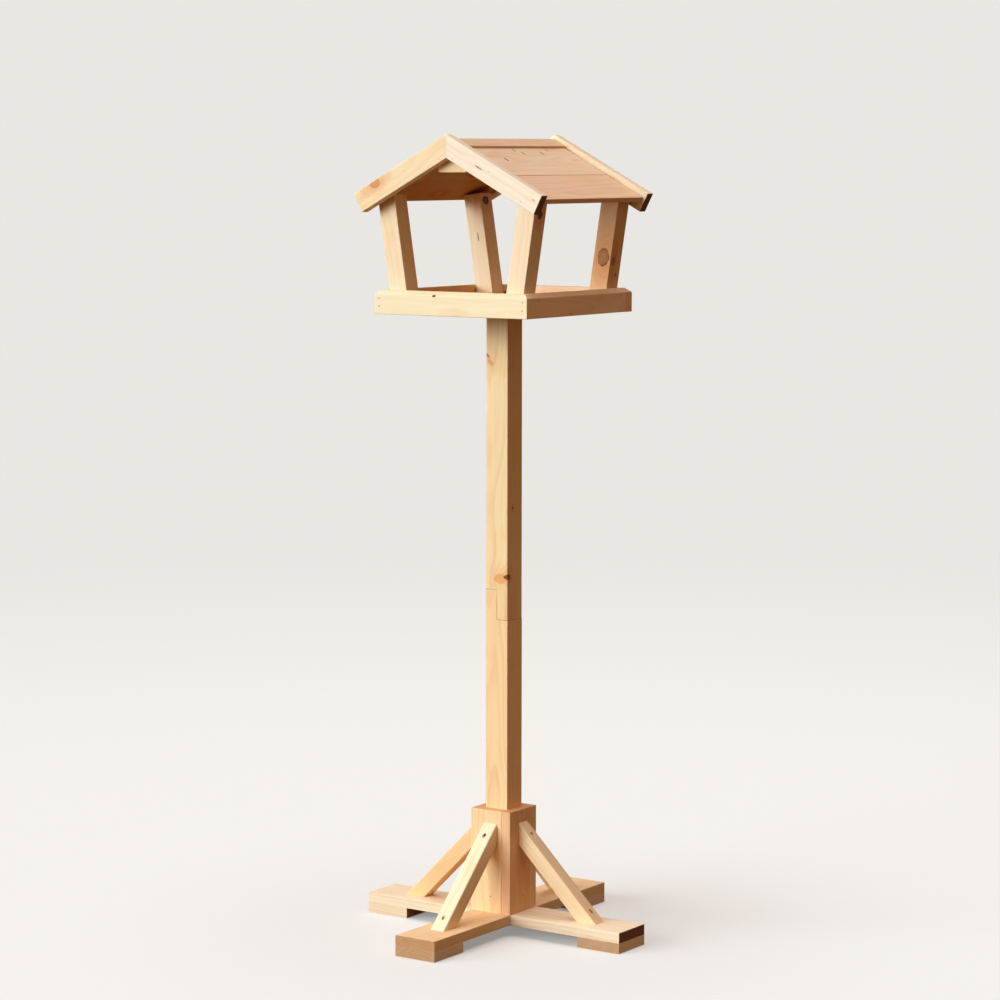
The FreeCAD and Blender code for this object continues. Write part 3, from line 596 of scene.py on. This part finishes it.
# Knots and streaks by timber: the place on its surface, the way it points out, its radius, its stretch
# along the grain, its depth, and its darkness, where 0 is a stain, 1 dark brown and more nearly black.
MARKS = {
    "upper_post": [
        ((8, -22.5, 617.5), -Y, 14, 0.60, 16, 0.10), ((22.5, -20, 621), X - Y * 0.4, 5.0, 1.0, 12, 1.6),
        ((-19, -22.5, 1000), SCAR, 1.7, 1.0, 30, 1.1), ((-13, -22.5, 988), SCAR, 2.6, 1.0, 30, 0.35),
        ((-3, -22.5, 990), SCAR, 7.0, 1.0, 30, 0.0), ((10, -22.5, 562), -Y, 13, 1.5, 30, 0.0),
        ((22.5, -7, 739), X, 1.7, 1.2, 8, 2.0),
        ((-22.5, 4, 880), -X, 7, 1.3, 16, 0.9), ((3, 22.5, 760), Y, 8, 1.3, 16, 0.7),
    ],
    "lower_post": [((-6, 22.5, 330), Y, 8, 1.3, 16, 0.8), ((-22.5, 6, 410), -X, 5, 1.4, 14, 1.2)],
    "rim_front": [((-32, -162, 1106), -Y, 1.8, 2.0, 30, 2.2)],
    "rim_back": [((62, 162, 1091), Y, 5.5, 1.3, 30, 0.8), ((-96, 162, 1098), Y, 3, 1.3, 30, 1.6)],
    "rim_left": [((-155, 38, 1090), -X, 6, 1.3, 30, 0.7)],
    "floor_board_middle": [
        ((14, 62, 1097.5), Z, 6, 1.3, 30, 0.7), ((-22, -90, 1097.5), Z, 4, 1.4, 30, 1.2),
    ],
    "floor_board_left": [((-84, -38, 1097.5), Z, 5, 1.3, 30, 0.9)],
    "corner_post_back_right": [
        ((130, 109, 1167), -Y, 12, 1.35, 18, 1.15), ((145, 119, 1160), X, 6, 1.3, 12, 1.0),
        ((144, 131, 1136), X, 1.6, 1.3, 8, 2.2),
    ],
    "corner_post_back_left": [
        ((-130.5, 109, 1197), -Y, 1.0, 8.0, 14, 2.6), ((-124.5, 124, 1261), X, 9.5, 0.8, 14, 1.9),
    ],
    "corner_post_front_right": [((157, -127, 1243), X, 7.5, 1.0, 14, 1.7)],
    "corner_post_front_left": [((-157, -124, 1180), -X, 5, 1.3, 14, 0.8)],
    "barge_board_front_left": [((-147, -172, 1294), -Y, 9.5, 1.1, 30, 0.5)],
    "barge_board_front_right": [
        ((65, -172, 1320), -Y, 0.9, 9.0, 12, 2.8), ((174, -172.5, 1267.5), -Y, 1.5, 2.2, 2, 0.6),
    ],
    "barge_board_back_left": [((-90, 172, 1310), Y, 6.5, 1.3, 30, 0.8)],
    "barge_board_back_right": [((120, 172, 1296), Y, 4, 1.4, 30, 1.2)],
    "roof_board_upper_right": [
        ((39, 56, 1343.1), Z, 5.0, 0.44, 30, 1.3), ((30, 85, 1347.8), Z, 3.5, 0.52, 30, 1.2),
        ((29, -15, 1348.4), Z, 4.5, 0.48, 30, 1.2), ((39, -1, 1343.1), Z, 4.5, 0.46, 30, 1.4),
        ((59, -80, 1332.4), Z, 5.0, 0.46, 30, 1.6),
    ],
    "roof_board_upper_left": [
        ((-62, -70, 1331), Z, 6.5, 1.3, 30, 0.75), ((-92, 52, 1315), Z, 4.5, 1.4, 30, 1.1),
    ],
    "roof_board_eave_left": [((-152, 22, 1284), Z, 7, 1.3, 30, 0.65)],
    "socket_board_back": [((14, 40.8, 120), Y, 5.5, 1.4, 30, 0.9)],
    "socket_board_left": [((-40.8, -8, 160), -X, 4.5, 1.4, 30, 0.9)],
    "foot_board_along": [((18, 182, 36), Z, 7, 1.3, 30, 0.7)],
    "foot_board_across": [
        # Painted shade: the streak beside the socket stands in for the socket's shadow on the board's
        # front, and the stain on its right end is partly a real stain, partly painted shade.
        ((54, -40.5, 17), -Y, 1.6, 7.0, 10, 0.55), ((263.5, 0, 18), X, 30, 1.0, 0.5, 0.0),
    ],
}
# A mark is a knot where its stretch lies between these, and otherwise a streak, without halo or push.
KNOT_STRETCHES = (0.55, 2.0)


def wood_marks(net, node, place, to_local):
    """The chain of a timber's knots and streaks: what they add up to for the pine group."""
    narrowest, longest = KNOT_STRETCHES
    marks = dict.fromkeys(MARK_SOCKETS, 0.0)
    for centre, outwards, radius, stretch, depth, darkness in MARKS.get(node, ()):
        spread = min(0.4 + darkness, 1.0) if narrowest < stretch < longest else 0.0
        made = net.node("ShaderNodeGroup", node_tree=KNOT_GROUP)
        values = {
            "Place": place, "Centre": (to_local @ (Vector(centre) * MM)) / MM,
            "Axis": (to_local.to_3x3() @ outwards).normalized(), "Radius": radius, "Stretch": stretch,
            "Depth": depth, "Darkness": darkness, "Spread": spread, **marks}
        for name, value in values.items():
            net.feed(made.inputs[name], value)
        marks = {name: made.outputs[name] for name in marks}
    return marks


def entry(table, node):
    """What a table says of a timber: its first entry that the timber's name starts with."""
    return next(table[prefix] for prefix in table if node.startswith(prefix))


def pine(node, slot, to_local, half, number):
    """The wood of one timber, with its own rings and marks."""
    material, net = new_material(f"{slot}_{node}")
    place = net.place_in_mm()
    pale = linear(*entry(PALE_TONE_AND_PAINTED_LIGHT, node))
    # The pith lies under the face, on either side of the middle, at one of a few depths.
    side = 1 if number % 2 else -1
    made = net.node("ShaderNodeGroup", node_tree=PINE_GROUP)
    values = {
        "Place": place, "Half": [h / MM for h in half],
        "Pith": (0.0, side * (6 + 5 * (number % 4)), -34.0 - 7 * (number % 5)),
        "Seed": (137.0 * number, 61.0 * number, 29.0 * number), "Ring": 3.0 + 0.4 * (number % 4),
        "Contrast": entry(GRAIN, node), "Sawn tone and shade": srgb(*entry(SAWN_TONE_AND_SHADE, node)),
        "Underside shade": srgb(*entry(UNDERSIDE_SHADE, node)),
        "Seam": entry(SEAM_SHADES, node), "Light": (*pale, 1.0),
        "Dark": (*(level * share for level, share in zip(pale, LATE_WOOD)), 1.0),
        "Heart": HEART, "Heart radius": HEART_RADIUS, **wood_marks(net, node, place, to_local)}
    for name, value in values.items():
        net.feed(made.inputs[name], value)
    bump = net.node("ShaderNodeBump", {
        "Height": made.outputs["Height"], "Strength": 0.5, "Distance": 0.18 * MM})
    surface = net.node("ShaderNodeBsdfPrincipled", {
        "Base Color": made.outputs["Color"], "Roughness": made.outputs["Roughness"],
        "Specular IOR Level": 0.30, "Normal": bump.outputs[0]})
    net.node("ShaderNodeOutputMaterial", {"Surface": surface.outputs[0]})
    return material


FASTENERS = ("_screws", "_pins")
timbers = sorted(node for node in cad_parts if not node.endswith(FASTENERS))
for number, node in enumerate(timbers):
    slot, arris, directions = entry(KINDS, node)
    matrix = board_frame(node, directions)
    to_local = matrix.inverted()
    mesh = timber_mesh(node, to_local, arris)
    piece = bpy.data.objects.new(node + "_timber", mesh)
    bpy.context.scene.collection.objects.link(piece)
    piece.matrix_world = matrix
    half = [max(abs(v.co[axis]) for v in mesh.vertices) for axis in range(3)]
    mesh.materials.append(pine(node, slot, to_local, half, number))
    piece.modifiers.new("even_faces", "WEIGHTED_NORMAL").keep_sharp = True
    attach(piece, "root")
    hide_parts(node)


# Fasteners

def steel(name, pale, dark, metal):
    """Dull zinc plate with a few rusty spots, under dirt or wood dust where it is less of a metal; the
    nearly black finish is painted shade, standing in for the shade in sunk screw holes.
    """
    material, net = new_material(name)
    place = net.place_in_mm()
    cloud = net.noise(place, (0.5, 0.5, 0.5), 4.0, 0.6)
    rust = net.step(net.noise(place, (0.23, 0.23, 0.23), 3.0), 0.5, 0.66)
    colour = net.mix(net.step(cloud, 0.3, 0.7), dark, pale)
    colour = net.mix(net.math("MULTIPLY", rust, metal), colour, srgb(84, 48, 30))
    bump = net.node("ShaderNodeBump", {"Height": cloud, "Strength": 0.4, "Distance": 0.1 * MM})
    surface = net.node("ShaderNodeBsdfPrincipled", {
        "Base Color": colour, "Roughness": net.math("MULTIPLY_ADD", cloud, 0.3, 0.35),
        "Metallic": net.math("MULTIPLY_ADD", rust, -0.9 * metal, metal), "Normal": bump.outputs[0]})
    net.node("ShaderNodeOutputMaterial", {"Surface": surface.outputs[0]})
    return material


zinc = steel("zinc_steel", srgb(150, 140, 124), srgb(116, 106, 92), 0.85)
# Painted shade: the brace screws are nearly black, standing in for the shade in their sunk holes.
dark = steel("zinc_steel_painted_hole_shade", srgb(74, 60, 48), srgb(40, 32, 26), 0.08)
stained = steel("zinc_steel_stained", srgb(196, 164, 126), srgb(166, 132, 96), 0.30)
dusty = steel("zinc_steel_dusty", srgb(236, 202, 160), srgb(222, 182, 138), 0.05)
FINISHES = {
    "brace_head_screws": dark, "brace_foot_screws": dark, "rim_pins": stained, "barge_pins": dusty,
    "roof_pins": dusty, "strip_pins": dusty,
}
for name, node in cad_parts.items():
    if name.endswith(FASTENERS):
        for material_slot in node.material_slots:
            material_slot.material = FINISHES.get(name, zinc)
